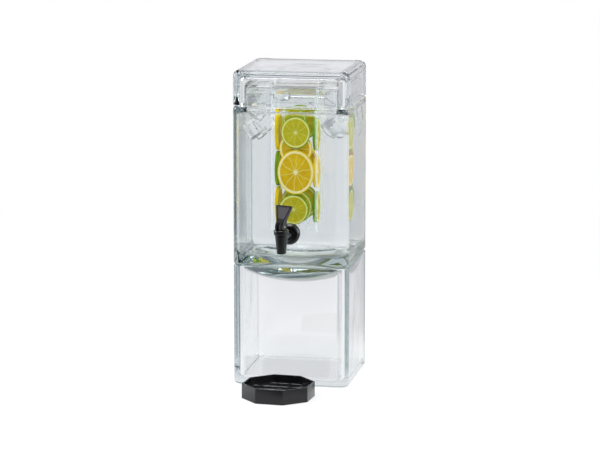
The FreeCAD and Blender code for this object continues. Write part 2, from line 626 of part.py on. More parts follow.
# Shank nut: a plastic hexagon with a round bore.
nut = new_body("shank_nut")
put(nut, y=TAP_Y, z=TAP_Z)
sketch = new_sketch(nut, "nut_outline", "XZ_Plane", "0 - ( tap_out + jar_wall + washer_thick )")
SIXTH = HALF_TURN / 3
hexagon = []
for k in range(6):
    angle = math.radians(SIXTH * k)
    reach = 1 / math.cos(math.radians(SIXTH / 2)) / 2
    hexagon.append((f"nut_flats * {reach * math.cos(angle):.6f}",
                    f"nut_flats * {reach * math.sin(angle):.6f}"))
add_outline(sketch, hexagon)
add_circle(sketch, "0", "0", "shank_radius + nut_gap")
pad(nut, "nut_block", sketch, "nut_thick", reverse=True)


def upright_part(name, points):
    """A round part turned about the spout axis."""
    body = new_body(name)
    put(body, y=TAP_Y, z=TAP_Z)
    profile = new_sketch(body, name + "_profile", "XZ_Plane")
    add_outline(profile, points)
    turn(body, name + "_turned", profile)
    return body


# Bonnet seal, bonnet, seat cup and stem, all on the spout axis.
SPIGOT_TOP = "barrel_top + spigot_high"
SEAL_TOP = SPIGOT_TOP + " + seal_thick"
BONNET_TOP = SEAL_TOP + " + bonnet_top"
seal = upright_part("bonnet_seal", [
    ("seal_inner", SPIGOT_TOP), ("spigot_radius", SPIGOT_TOP),
    ("spigot_radius", SEAL_TOP), ("seal_inner", SEAL_TOP)])
bonnet = upright_part("bonnet", [
    ("stem_radius + stem_fit", SEAL_TOP), ("spigot_radius + bonnet_fit", SEAL_TOP),
    ("spigot_radius + bonnet_fit", "barrel_top + bonnet_lap"),
    ("bonnet_radius", "barrel_top + bonnet_lap"),
    ("bonnet_radius", BONNET_TOP + " - bonnet_bevel"),
    ("bonnet_radius - bonnet_bevel", BONNET_TOP), ("stem_radius + stem_fit", BONNET_TOP)])
CUP_FOOT = "0 - seat_drop + soft_gap"
CUP_TOP = CUP_FOOT + " + cup_high"
STEM_FOOT = CUP_TOP + " - stem_in_cup"
cup = upright_part("seat_cup", [
    ("0", CUP_FOOT), ("cup_radius", CUP_FOOT), ("cup_radius", CUP_TOP),
    ("stem_radius + stem_fit", CUP_TOP), ("stem_radius + stem_fit", STEM_FOOT),
    ("0", STEM_FOOT)])
PIN_Z = BONNET_TOP + " + pin_rise"

# Valve stem: a rod with a flat head that carries the handle's pin.
stem = new_body("valve_stem")
put(stem, y=TAP_Y, z=TAP_Z)
stem.Placement = FreeCAD.Placement(
    stem.Placement.Base, FreeCAD.Rotation(FreeCAD.Vector(0, 0, 1), amount("handle_turn")))
bind(stem, "Placement.Rotation.Angle", "handle_turn")
sketch = new_sketch(stem, "stem_profile", "XZ_Plane")
add_outline(sketch, [
    ("0", STEM_FOOT), ("stem_radius", STEM_FOOT),
    ("stem_radius", BONNET_TOP + " + head_lift + 1"), ("0", BONNET_TOP + " + head_lift + 1")])
turn(stem, "stem_rod", sketch)
sketch = new_sketch(stem, "head_outline", "XY_Plane", BONNET_TOP + " + head_lift")
HEAD_X = "head_wide / 2"
HEAD_Y = "head_deep / 2"
add_outline(sketch, [("0 - " + HEAD_X, "0 - " + HEAD_Y), (HEAD_X, "0 - " + HEAD_Y),
                     (HEAD_X, HEAD_Y), ("0 - " + HEAD_X, HEAD_Y)])
pad(stem, "stem_head", sketch, "pin_rise - head_lift + head_over_pin")
sketch = new_sketch(stem, "pin_hole_outline", "YZ_Plane")
add_circle(sketch, "0", PIN_Z, "pin_radius + pin_fit")
pocket(stem, "pin_hole", sketch, "head_wide * 2", middle=True)

# Return spring round the stem, between the seat cup and the bonnet seal.
spring = new_body("stem_spring")
put(spring, y=TAP_Y, z=TAP_Z)
sketch = new_sketch(spring, "wire_outline", "XZ_Plane")
WIRE_LOW = CUP_TOP + " + coil_gap + coil_wire"
add_circle(sketch, "coil_radius", WIRE_LOW, "coil_wire")
coil = spring.newObject("PartDesign::AdditiveHelix", "coil")
coil.Profile = sketch
coil.ReferenceAxis = (sketch, ["V_Axis"])
coil.Mode = "height-turns-angle"
bind(coil, "Height", f"{SEAL_TOP} - coil_gap - coil_wire - ( {WIRE_LOW} )")
bind(coil, "Turns", "coil_turns")
doc.recompute()

# Handle: a forked lever with a cam under the pin and a paddle that widens and leans back.
# Its own frame sits on the pin axis.
CAM_STEPS = (0, 10, 20, 30, 40)
handle = new_body("handle")
put(handle, y=TAP_Y, z=f"{TAP_Z} + {PIN_Z}")
handle.Placement = FreeCAD.Placement(
    handle.Placement.Base, FreeCAD.Rotation(FreeCAD.Vector(0, 0, 1), amount("handle_turn")))
bind(handle, "Placement.Rotation.Angle", "handle_turn")
side = [("hub_back", "0 - ( pin_rise - cam_gap )")]
for step in CAM_STEPS:
    angle = math.radians(step)
    reach = f"( pin_rise - cam_gap + cam_rate * {angle:.6f} )"
    side.append((f"0 - {reach} * {math.sin(angle):.6f} - cam_rate * {math.cos(angle):.6f}",
                 f"0 - {reach} * {math.cos(angle):.6f} + cam_rate * {math.sin(angle):.6f}"))
side.append((side[-1][0], "pin_radius"))
side.append(("paddle_back", "paddle_high"))
side.append(("paddle_back + paddle_thick", "paddle_high - paddle_thick / 3"))
side.append(("hub_back", "hub_back_rise"))
sketch = new_sketch(handle, "lever_side", "YZ_Plane")
add_outline(sketch, side)
pad(handle, "lever", sketch, "paddle_wide", middle=True)
sketch = new_sketch(handle, "lever_waist", "XZ_Plane")
OUTSIDE = "paddle_wide"
for sign in ("", "0 - "):
    add_outline(sketch, [
        (f"{sign}( hub_wide / 2 )", "0 - 3 * pin_rise"),
        (f"{sign}( hub_wide / 2 )", "paddle_flare"),
        (f"{sign}( paddle_wide / 2 )", "paddle_high"),
        (f"{sign}( paddle_wide / 2 )", "paddle_high * 1.5"),
        (f"{sign}{OUTSIDE}", "paddle_high * 1.5"),
        (f"{sign}{OUTSIDE}", "0 - 3 * pin_rise")])
pocket(handle, "lever_waist_cut", sketch, "paddle_wide * 3", middle=True)
sketch = new_sketch(handle, "fork_outline", "XZ_Plane")
FORK_X = "fork_slot / 2"
add_outline(sketch, [("0 - " + FORK_X, "0 - 3 * pin_rise"), (FORK_X, "0 - 3 * pin_rise"),
                     (FORK_X, "fork_roof"), ("0 - " + FORK_X, "fork_roof")])
pocket(handle, "fork_slot_cut", sketch, "paddle_wide * 3", middle=True)
sketch = new_sketch(handle, "handle_pin_hole", "YZ_Plane")
add_circle(sketch, "0", "0", "pin_radius + pin_fit")
pocket(handle, "handle_pin_bore", sketch, "paddle_wide * 2", middle=True)

pin = doc.addObject("Part::Cylinder", "handle_pin")
pin.Label = "handle_pin"
bind(pin, "Radius", "pin_radius")
bind(pin, "Height", "hub_wide - 2 * pin_end_gap")
across = FreeCAD.Rotation(FreeCAD.Vector(0, 0, 1), amount("handle_turn"))
across = across.multiply(FreeCAD.Rotation(FreeCAD.Vector(0, 1, 0), QUARTER))
pin.Placement = FreeCAD.Placement(FreeCAD.Vector(0, 0, 0), across)
PIN_HALF = "( hub_wide / 2 - pin_end_gap )"
put(pin, x=f"0 - {PIN_HALF} * cos ( handle_turn )",
    y=f"{TAP_Y} - {PIN_HALF} * sin ( handle_turn )", z=f"{TAP_Z} + {PIN_Z}")

# Drip tray: an octagonal dish with a ledge, and a slotted grate on the ledge.
EIGHTH = HALF_TURN / 4


def octagon(flat):
    """Corners of a centred octagon, given the distance from its centre to a flat."""
    corners = []
    for k in range(8):
        angle = math.radians(EIGHTH * (k + 0.5))
        reach = 1 / math.cos(math.radians(EIGHTH / 2))
        corners.append((f"( {flat} ) * {reach * math.cos(angle):.6f}",
                        f"( {flat} ) * {reach * math.sin(angle):.6f}"))
    return corners


def turned_body(name, z):
    body = new_body(name)
    turned = FreeCAD.Rotation(FreeCAD.Vector(0, 0, 1), amount("tray_turn"))
    body.Placement = FreeCAD.Placement(FreeCAD.Vector(0, 0, 0), turned)
    put(body, x="tray_side", y="0 - body_wide / 2 - tray_out", z=z)
    bind(body, "Placement.Rotation.Angle", "tray_turn")
    return body


tray = turned_body("drip_tray", "0")
sketch = new_sketch(tray, "tray_outline", "XY_Plane")
add_outline(sketch, octagon("tray_flat"))
pad(tray, "tray_block", sketch, "tray_high")
sketch = new_sketch(tray, "tray_hollow_outline", "XY_Plane", "tray_high")
add_outline(sketch, octagon("tray_flat - tray_wall"))
pocket(tray, "tray_hollow", sketch, "tray_high - ledge_high")
sketch = new_sketch(tray, "tray_sump_outline", "XY_Plane", "ledge_high")
add_outline(sketch, octagon("tray_flat - tray_wall - ledge_wide"))
pocket(tray, "tray_sump", sketch, "ledge_high - tray_floor")

grate = turned_body("drip_grate", "ledge_high")
GRATE_FLAT = "( tray_flat - tray_wall - grate_gap )"
sketch = new_sketch(grate, "grate_outline", "XY_Plane")
add_outline(sketch, octagon(GRATE_FLAT))
pad(grate, "grate_plate", sketch, "grate_thick")
sketch = new_sketch(grate, "grate_slots_outline", "XY_Plane", "grate_thick")
SIDE_HALF = math.tan(math.radians(EIGHTH / 2))
for row in range(-5, 6):
    if abs(row) <= 2:
        slot_end = f"{GRATE_FLAT} - grate_rim"
    else:
        slot_end = (f"{GRATE_FLAT} * {1 + SIDE_HALF:.6f} - bar_step * {abs(row)}"
                    " - slot_wide / 2 - grate_rim * 1.4")
    low = f"bar_step * {row} - slot_wide / 2"
    high = f"bar_step * {row} + slot_wide / 2"
    for sign in ("", "0 - "):
        near = f"{sign}slot_rib"
        far = f"{sign}( {slot_end} )"
        add_outline(sketch, [(near, low), (far, low), (far, high), (near, high)])
pocket(grate, "grate_slots", sketch, "grate_thick + 1")

doc.recompute()

nodes = [base_box, vessel, lid, collar, tube, cap, faucet, outer_washer, inner_washer, nut,
         seal, bonnet, cup, stem, spring, handle, pin, tray, grate]
nodes += fruit_nodes
for item in doc.Objects:
    if "Invalid" in item.State or "Error" in item.State:
        raise RuntimeError(f"{item.Label}: {item.State}")
for node in nodes:
    shape = node.Shape
    if shape.isNull() or not shape.isValid() or not shape.Solids:
        raise RuntimeError(f"{node.Label} has no sound solid")
    shape.exportStep(f"parts/{node.Label}.step")
    box = shape.BoundBox
    print(f"{node.Label}: {len(shape.Solids)} solid(s), {shape.Volume / 1000:.2f} cm3, "
          f"X {box.XMin:.1f} {box.XMax:.1f} Y {box.YMin:.1f} {box.YMax:.1f} "
          f"Z {box.ZMin:.1f} {box.ZMax:.1f}")
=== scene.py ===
"""Looks of a square glass drink dispenser with a fruit chamber, a tap and a drip tray."""
import math
import random

import bmesh
import bpy
from mathutils import Matrix, Vector, noise


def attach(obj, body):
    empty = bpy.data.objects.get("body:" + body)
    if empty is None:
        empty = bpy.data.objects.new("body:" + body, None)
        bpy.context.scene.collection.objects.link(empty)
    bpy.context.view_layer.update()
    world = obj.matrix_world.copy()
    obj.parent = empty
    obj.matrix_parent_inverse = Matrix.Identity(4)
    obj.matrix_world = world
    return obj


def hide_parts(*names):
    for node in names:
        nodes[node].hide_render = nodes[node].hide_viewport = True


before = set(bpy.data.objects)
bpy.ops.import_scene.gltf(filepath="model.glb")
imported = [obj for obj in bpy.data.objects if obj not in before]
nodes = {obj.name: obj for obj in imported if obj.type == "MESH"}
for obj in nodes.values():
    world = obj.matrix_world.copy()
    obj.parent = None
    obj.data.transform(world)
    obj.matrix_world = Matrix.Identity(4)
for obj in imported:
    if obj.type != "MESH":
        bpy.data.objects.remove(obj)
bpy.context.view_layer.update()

MM = 0.001
SEED = 20260

# ---------------------------------------------------------------- camera

CAMERA_AZIMUTH = math.radians(10.51)
CAMERA_ELEVATION = math.radians(9.95)
CAMERA_DISTANCE = 4.327
CAMERA_TARGET = Vector((0, 0, 0.240))
CAMERA_LENS = 168.75
CAMERA_SENSOR = 36.0
CAMERA_SHIFT = (-0.0007, -0.00643)
CAMERA_REACH = 100


def add_camera():
    """A long lens a little to the right of the front and a little above the object."""
    data = bpy.data.cameras.new("camera")
    data.sensor_fit = "HORIZONTAL"
    data.sensor_width = CAMERA_SENSOR
    data.lens = CAMERA_LENS
    data.shift_x, data.shift_y = CAMERA_SHIFT
    data.clip_end = CAMERA_REACH
    camera = bpy.data.objects.new("camera", data)
    bpy.context.scene.collection.objects.link(camera)
    flat = math.cos(CAMERA_ELEVATION)
    back = Vector((math.sin(CAMERA_AZIMUTH) * flat, -math.cos(CAMERA_AZIMUTH) * flat,
                   math.sin(CAMERA_ELEVATION)))
    camera.location = CAMERA_TARGET + back * CAMERA_DISTANCE
    camera.rotation_euler = back.to_track_quat("Z", "Y").to_euler()
    bpy.context.scene.camera = camera


# ---------------------------------------------------------------- node helpers

def new_material(name):
    """An empty node material and its output node."""
    material = bpy.data.materials.new(name)
    material.use_nodes = True
    material.node_tree.nodes.clear()
    output = material.node_tree.nodes.new("ShaderNodeOutputMaterial")
    return material, output


def join(tree, *pairs):
    """Links each pair of sockets."""
    for start, end in pairs:
        tree.links.new(start, end)


def calc(tree, operation, first, second=None, third=None):
    """A Math node; numbers go in as values and sockets as links."""
    node = tree.nodes.new("ShaderNodeMath")
    node.operation = operation
    for k, value in enumerate((first, second, third)):
        if value is None:
            continue
        if isinstance(value, (int, float)):
            node.inputs[k].default_value = value
        else:
            tree.links.new(value, node.inputs[k])
    return node.outputs[0]


def blend_colours(tree, factor, first, second):
    """Mixes two colours, each a tuple or a socket, by a socket."""
    node = tree.nodes.new("ShaderNodeMix")
    node.data_type = "RGBA"
    tree.links.new(factor, node.inputs[0])
    for k, value in ((6, first), (7, second)):
        if isinstance(value, tuple):
            node.inputs[k].default_value = (*value, 1)
        else:
            tree.links.new(value, node.inputs[k])
    return node.outputs[2]


def step_up(tree, value, low, high):
    """0 below low, 1 above high, smooth between."""
    node = tree.nodes.new("ShaderNodeMapRange")
    node.interpolation_type = "SMOOTHSTEP"
    tree.links.new(value, node.inputs[0])
    node.inputs[1].default_value = low
    node.inputs[2].default_value = high
    return node.outputs[0]


def noise_value(tree, coordinates, scale, detail=2.0, rough=0.5):
    """A noise texture's value."""
    node = tree.nodes.new("ShaderNodeTexNoise")
    node.inputs["Scale"].default_value = scale
    node.inputs["Detail"].default_value = detail
    node.inputs["Roughness"].default_value = rough
    tree.links.new(coordinates, node.inputs["Vector"])
    return node.outputs[0]


def bump(tree, height, distance, strength=1.0, normal=None):
    """A bump from a height socket, over another bump if one is given."""
    node = tree.nodes.new("ShaderNodeBump")
    node.inputs["Strength"].default_value = strength
    node.inputs["Distance"].default_value = distance
    tree.links.new(height, node.inputs["Height"])
    if normal is not None:
        tree.links.new(normal, node.inputs["Normal"])
    return node.outputs[0]


def object_space(tree):
    """Coordinates that stay with the piece."""
    return tree.nodes.new("ShaderNodeTexCoord").outputs["Object"]


# ---------------------------------------------------------------- materials

# Painted reflection and highlight: the white of a diffuse haze put on clear solids where they are
# seen edge on, and on the wet tube's upright corners.
PAINTED_SHEEN_WHITE = (0.92, 0.94, 0.95)
DRY_EDGE = (0.87, 1.0)
WET_EDGE = (0.85, 1.0)
WET_CORNER_HIGHLIGHT = (0.25, 0.45)
SHEEN_NOISE_SCALE, SHEEN_NOISE_SPREAD = 120, 0.4


def clear_solid(name, refraction, rough, wave, absorb, ripple=None, passed=(0.97, 0.98, 0.98),
                painted_sheen=0.0):
    """A clear refracting solid: a wavy surface, and inside it a colour that deepens with thickness.

    wave is (scale, depth) of the slow waves of the surface, ripple the same for finer ones,
    absorb is the share of red, green and blue light lost over a metre, as e-foldings, passed
    is the share that each surface lets straight through towards what stands in or behind it,
    and the last argument is how strongly a painted reflection, a white diffuse haze, covers the
    surface seen edge on.
    """
    material, output = new_material(name)
    tree = material.node_tree
    space = object_space(tree)
    shader = tree.nodes.new("ShaderNodeBsdfPrincipled")
    shader.inputs["Base Color"].default_value = (1, 1, 1, 1)
    shader.inputs["Roughness"].default_value = rough
    shader.inputs["IOR"].default_value = refraction
    shader.inputs["Transmission Weight"].default_value = 1
    normal = bump(tree, noise_value(tree, space, wave[0], 1.5), wave[1])
    if ripple:
        normal = bump(tree, noise_value(tree, space, ripple[0], 2.0), ripple[1], normal=normal)
    tree.links.new(normal, shader.inputs["Normal"])
    body = shader.outputs[0]
    # Painted reflection: a white diffuse haze where the surface is seen edge on stands in for the
    # reflection there.
    if painted_sheen:
        edge_on = tree.nodes.new("ShaderNodeLayerWeight").outputs["Facing"]
        painted_sheen_shader = tree.nodes.new("ShaderNodeBsdfDiffuse")
        painted_sheen_shader.inputs["Color"].default_value = (*PAINTED_SHEEN_WHITE, 1)
        with_painted_sheen = tree.nodes.new("ShaderNodeMixShader")
        share = calc(tree, "MULTIPLY", step_up(tree, edge_on, *DRY_EDGE), painted_sheen)
        join(tree, (share, with_painted_sheen.inputs[0]), (body, with_painted_sheen.inputs[1]),
             (painted_sheen_shader.outputs[0], with_painted_sheen.inputs[2]))
        body = with_painted_sheen.outputs[0]
    path = tree.nodes.new("ShaderNodeLightPath")
    straight = tree.nodes.new("ShaderNodeBsdfTransparent")
    straight.inputs["Color"].default_value = (*passed, 1)
    mix = tree.nodes.new("ShaderNodeMixShader")
    lighting = calc(tree, "MAXIMUM", path.outputs["Is Shadow Ray"],
                    path.outputs["Is Diffuse Ray"])
    join(tree, (lighting, mix.inputs[0]), (body, mix.inputs[1]),
         (straight.outputs[0], mix.inputs[2]), (mix.outputs[0], output.inputs["Surface"]))
    if absorb:
        depth = max(absorb)
        inside = tree.nodes.new("ShaderNodeVolumeAbsorption")
        inside.inputs["Color"].default_value = (*(1 - share / depth for share in absorb), 1)
        inside.inputs["Density"].default_value = depth
        tree.links.new(inside.outputs[0], output.inputs["Volume"])
    return material


def wet_film(name, painted_sheen):
    """Clear plastic under water: light passes straight through it. Its upright corners and what is
    seen edge on carry a painted highlight, a white diffuse haze of noisy strength."""
    material, output = new_material(name)
    tree = material.node_tree
    straight = tree.nodes.new("ShaderNodeBsdfTransparent")
    painted_sheen_shader = tree.nodes.new("ShaderNodeBsdfDiffuse")
    painted_sheen_shader.inputs["Color"].default_value = (*PAINTED_SHEEN_WHITE, 1)
    edge_on = tree.nodes.new("ShaderNodeLayerWeight").outputs["Facing"]
    sheen_noise = noise_value(tree, object_space(tree), SHEEN_NOISE_SCALE)
    split = tree.nodes.new("ShaderNodeSeparateXYZ")
    tree.links.new(tree.nodes.new("ShaderNodeTexCoord").outputs["Normal"], split.inputs[0])
    # Painted highlight on the upright corners, found by the slant of the normal.
    diagonal = calc(tree, "ABSOLUTE", calc(tree, "MULTIPLY", *split.outputs[:2]))
    shown = calc(tree, "MAXIMUM", step_up(tree, edge_on, *WET_EDGE),
                 step_up(tree, diagonal, *WET_CORNER_HIGHLIGHT))
    share = calc(tree, "MULTIPLY", shown, calc(
        tree, "MULTIPLY_ADD", sheen_noise, SHEEN_NOISE_SPREAD, painted_sheen - SHEEN_NOISE_SPREAD / 2))
    mix = tree.nodes.new("ShaderNodeMixShader")
    join(tree, (share, mix.inputs[0]), (straight.outputs[0], mix.inputs[1]),
         (painted_sheen_shader.outputs[0], mix.inputs[2]), (mix.outputs[0], output.inputs["Surface"]))
    return material


CLOUD_SCALE, SPECK_SCALE = 60, 1400
WEAR_SPREAD = 0.16
# Painted highlight lines: the width of each line and the cloud values where it shows.
HIGHLIGHT_LINE_EDGE = (0.06, 0.14)
HIGHLIGHT_LINE_PATCHES = (0.30, 0.60)


def moulded_plastic(name, colour, pale, rough, shine, grain=0.00001, highlight_lines=None):
    """Opaque moulded plastic: faint cloudy colour, fine grain and worn, shinier patches.

    The optional last argument gives painted highlight lines, glints on bars: the direction across
    the row, their spacing and their colour; they show in patches.
    """
    material, output = new_material(name)
    tree = material.node_tree
    space = object_space(tree)
    shader = tree.nodes.new("ShaderNodeBsdfPrincipled")
    cloud = noise_value(tree, space, CLOUD_SCALE, 3.0)
    speck = noise_value(tree, space, SPECK_SCALE)
    tone = blend_colours(tree, cloud, colour, pale)
    # Painted highlight: light lines in patches stand in for glints on the bars of a grate.
    if highlight_lines:
        across, spacing, highlight_colour = highlight_lines
        place = tree.nodes.new("ShaderNodeVectorMath")
        place.operation = "DOT_PRODUCT"
        tree.links.new(space, place.inputs[0])
        place.inputs[1].default_value = across
        turn = calc(tree, "FRACT", calc(tree, "DIVIDE", place.outputs["Value"], spacing))
        off_line = calc(tree, "ABSOLUTE", calc(tree, "SUBTRACT", turn, 0.5))
        highlight_line = calc(tree, "SUBTRACT", 1, step_up(tree, off_line, *HIGHLIGHT_LINE_EDGE))
        highlight_line = calc(tree, "MULTIPLY", highlight_line, step_up(tree, cloud, *HIGHLIGHT_LINE_PATCHES))
        tone = blend_colours(tree, highlight_line, tone, highlight_colour)
    join(tree, (tone, shader.inputs["Base Color"]))
    wear = calc(tree, "MULTIPLY_ADD", cloud, WEAR_SPREAD, rough - WEAR_SPREAD / 2)
    tree.links.new(wear, shader.inputs["Roughness"])
    tree.links.new(bump(tree, speck, grain), shader.inputs["Normal"])
    shader.inputs["Specular IOR Level"].default_value = shine
    tree.links.new(shader.outputs[0], output.inputs["Surface"])
    return material


DUST_SCALE, DUST_STEP = 220, (0.45, 0.75)
RUBBER_GRAIN = (900, 0.00002)


def soft_rubber(name, colour, pale, rough):
    """Rubber or silicone: even colour with faint dust and a soft grain."""
    material, output = new_material(name)
    tree = material.node_tree
    space = object_space(tree)
    shader = tree.nodes.new("ShaderNodeBsdfPrincipled")
    dust = step_up(tree, noise_value(tree, space, DUST_SCALE, 4.0, 0.7), *DUST_STEP)
    tree.links.new(blend_colours(tree, dust, colour, pale), shader.inputs["Base Color"])
    shader.inputs["Roughness"].default_value = rough
    scale, depth = RUBBER_GRAIN
    tree.links.new(bump(tree, noise_value(tree, space, scale), depth), shader.inputs["Normal"])
    tree.links.new(shader.outputs[0], output.inputs["Surface"])
    return material


STEEL_LINES = 2500
STEEL_DARK, STEEL_LIGHT = (0.52, 0.53, 0.55), (0.68, 0.69, 0.70)
STEEL_ROUGH, STEEL_ROUGH_SPREAD = 0.18, 0.15


def drawn_steel(name):
    """Drawn steel wire and pin: fine lines along the piece."""
    material, output = new_material(name)
    tree = material.node_tree
    space = object_space(tree)
    shader = tree.nodes.new("ShaderNodeBsdfPrincipled")
    shader.inputs["Metallic"].default_value = 1
    lines = noise_value(tree, space, STEEL_LINES)
    tree.links.new(blend_colours(tree, lines, STEEL_DARK, STEEL_LIGHT),
                   shader.inputs["Base Color"])
    tree.links.new(calc(tree, "MULTIPLY_ADD", lines, STEEL_ROUGH_SPREAD, STEEL_ROUGH),
                   shader.inputs["Roughness"])
    tree.links.new(shader.outputs[0], output.inputs["Surface"])
    return material


WALL_WIDTH = (0.002, 0.042)
WALL_SWAY, EDGE_SWAY = 0.5, 0.03
SAC_LONG, SAC_WIDE, SAC_SCALE = 4, 9, 2.2
SAC_STEP, PATCH_STEP = (0.3, 0.7), (0.42, 0.66)
CORE_STEP, CORE_STAR = (0.045, 0.085), -0.09
PITH_STEP, RIND_STEP = (0.855, 0.885), (0.945, 0.968)
RELIEF_DEPTH, WALL_RELIEF = 0.0003, 0.6


def citrus_flesh(name, pulp, pulp_deep, membrane, pith, rind, rind_deep, segments):
    """A cut citrus slice. The mesh's UV map holds the place on the slice, centre at 0.5, 0.5."""
    material, output = new_material(name)
    tree = material.node_tree
    shader = tree.nodes.new("ShaderNodeBsdfPrincipled")
    place = tree.nodes.new("ShaderNodeUVMap")
    place.uv_map = "slice"
    split = tree.nodes.new("ShaderNodeSeparateXYZ")
    tree.links.new(place.outputs[0], split.inputs[0])
    across = calc(tree, "MULTIPLY_ADD", split.outputs[0], 2, -1)
    along = calc(tree, "MULTIPLY_ADD", split.outputs[1], 2, -1)
    radius = calc(tree, "SQRT", calc(
        tree, "ADD", calc(tree, "MULTIPLY", across, across), calc(tree, "MULTIPLY", along, along)))
    angle = calc(tree, "ARCTAN2", along, across)
    wobble = noise_value(tree, place.outputs[0], 5, 1.0)
    turns = calc(tree, "MULTIPLY_ADD", angle, segments / math.tau, segments)
    turns = calc(tree, "ADD", turns, calc(
        tree, "MULTIPLY_ADD", wobble, WALL_SWAY, -WALL_SWAY / 2))
    off_middle = calc(tree, "ABSOLUTE", calc(tree, "SUBTRACT", calc(tree, "FRACT", turns), 0.5))
    to_wall = calc(tree, "MULTIPLY", calc(tree, "SUBTRACT", 0.5, off_middle),
                   calc(tree, "MULTIPLY", radius, math.tau / segments))
    wall = calc(tree, "SUBTRACT", 1, step_up(tree, to_wall, *WALL_WIDTH))
    polar = tree.nodes.new("ShaderNodeCombineXYZ")
    tree.links.new(calc(tree, "MULTIPLY", angle, SAC_WIDE), polar.inputs[0])
    tree.links.new(calc(tree, "MULTIPLY", radius, SAC_LONG), polar.inputs[1])
    sacs = noise_value(tree, polar.outputs[0], SAC_SCALE, 3.0, 0.6)
    patch = noise_value(tree, place.outputs[0], 3.0)
    flesh = blend_colours(tree, step_up(tree, sacs, *SAC_STEP), pulp, pulp_deep)
    flesh = blend_colours(tree, step_up(tree, patch, *PATCH_STEP), flesh, pulp)
    flesh = blend_colours(tree, wall, flesh, membrane)
    core = calc(tree, "SUBTRACT", 1, step_up(
        tree, calc(tree, "MULTIPLY_ADD", wall, CORE_STAR, radius), *CORE_STEP))
    flesh = blend_colours(tree, core, flesh, pith)
    edge = calc(tree, "MULTIPLY_ADD", wobble, EDGE_SWAY, radius)
    flesh = blend_colours(tree, step_up(tree, edge, *PITH_STEP), flesh, pith)
    skin = blend_colours(tree, noise_value(tree, place.outputs[0], 9, 3.0), rind, rind_deep)
    flesh = blend_colours(tree, step_up(tree, radius, *RIND_STEP), flesh, skin)
    tree.links.new(flesh, shader.inputs["Base Color"])
    shader.inputs["Roughness"].default_value = 0.32
    shader.inputs["Specular IOR Level"].default_value = 0.04
    shader.inputs["Subsurface Weight"].default_value = 0.25
    shader.inputs["Subsurface Radius"].default_value = (0.004, 0.003, 0.001)
    shader.inputs["Subsurface Scale"].default_value = 1.0
    relief = calc(tree, "ADD", sacs, calc(tree, "MULTIPLY", wall, WALL_RELIEF))
    tree.links.new(bump(tree, relief, RELIEF_DEPTH), shader.inputs["Normal"])
    tree.links.new(shader.outputs[0], output.inputs["Surface"])
    return material


GLASS_LOSS = (3.2, 2.5, 2.4)
JAR_LOSS = (4.0, 3.1, 3.0)
LID_LOSS = (1.0, 0.7, 0.65)
WATER_LOSS = (0.35, 0.15, 0.10)
GLASS_WAVE, GLASS_RIPPLE = (9, 0.0010), (55, 0.00002)
PLASTIC_WAVE = (30, 0.0001)
TRAY_TURN = math.radians(-4.9)
# Spacing of the painted highlight lines on the grate.
GRATE_HIGHLIGHT_SPACING = 0.021

glass = clear_solid("clear_glass", 1.5, 0.0, GLASS_WAVE, GLASS_LOSS, GLASS_RIPPLE)
jar_glass = clear_solid("clear_jar_glass", 1.5, 0.0, GLASS_WAVE, JAR_LOSS, GLASS_RIPPLE)
lid_glass = clear_solid("clear_lid_glass", 1.45, 0.0, GLASS_WAVE, LID_LOSS, GLASS_RIPPLE)
water_look = clear_solid("water", 1.333, 0.0, (14, 0.0004), WATER_LOSS)
wet_plastic = wet_film("wet_clear_plastic", 0.45)
dry_plastic = clear_solid("clear_plastic", 1.25, 0.01, PLASTIC_WAVE, None, painted_sheen=0.4)
ice_look = clear_solid("ice", 1.06, 0.03, (60, 0.0015), None, (190, 0.0004))
black_plastic = moulded_plastic("black_plastic", (0.003, 0.003, 0.003), (0.005, 0.005, 0.006),
                                0.14, 0.5)
panel_plastic = moulded_plastic("panel_plastic", (0.030, 0.027, 0.034), (0.045, 0.042, 0.050),
                                0.45, 0.5)
tray_plastic = moulded_plastic("tray_plastic", (0.002, 0.002, 0.003), (0.004, 0.004, 0.005),
                               0.22, 0.5, 0.00002)
# The grate's material carries painted highlight lines along its bars.
grate_plastic = moulded_plastic("grate_plastic", (0.002, 0.002, 0.003), (0.004, 0.004, 0.005),
                                0.22, 0.5, 0.00002,
                                ((-math.sin(TRAY_TURN), math.cos(TRAY_TURN), 0), GRATE_HIGHLIGHT_SPACING,
                                 (0.28, 0.28, 0.30)))
stem_plastic = moulded_plastic("stem_plastic", (0.10, 0.10, 0.11), (0.14, 0.14, 0.15), 0.35, 0.4)
black_rubber = soft_rubber("black_rubber", (0.010, 0.010, 0.011), (0.022, 0.022, 0.024), 0.6)
silicone = soft_rubber("silicone", (0.55, 0.56, 0.57), (0.66, 0.67, 0.68), 0.45)
steel = drawn_steel("drawn_steel")
lemon_flesh = citrus_flesh(
    "lemon_flesh", (0.74, 0.50, 0.008), (0.60, 0.35, 0.004), (0.78, 0.64, 0.12),
    (0.90, 0.80, 0.40), (0.84, 0.64, 0.01), (0.74, 0.52, 0.005), 10)
lime_flesh = citrus_flesh(
    "lime_flesh", (0.56, 0.49, 0.018), (0.43, 0.39, 0.010), (0.62, 0.57, 0.09),
    (0.74, 0.74, 0.24), (0.22, 0.40, 0.008), (0.12, 0.25, 0.004), 9)


# ---------------------------------------------------------------- stage

PLAIN_LIGHT = 0.75
BACKDROP = (0.84, 0.845, 0.875)
CEILING = (0.26, 0.28, 0.30)
FRONT_DARK = (0.06, 0.07, 0.08)
LEFT_WALL = (0.66, 0.68, 0.69)
RIGHT_GREY = (0.48, 0.48, 0.51)
RIGHT_WALL = (0.86, 0.87, 0.89)
CEILING_RISE = (0.04, 0.55)
GREY_START, RIGHT_START, LEFT_START = (0.06, 0.26), (0.45, 0.75), (0.50, 0.85)
FRONT_START, FRONT_LEFT = (0.35, 0.85), (0.03, 0.12)


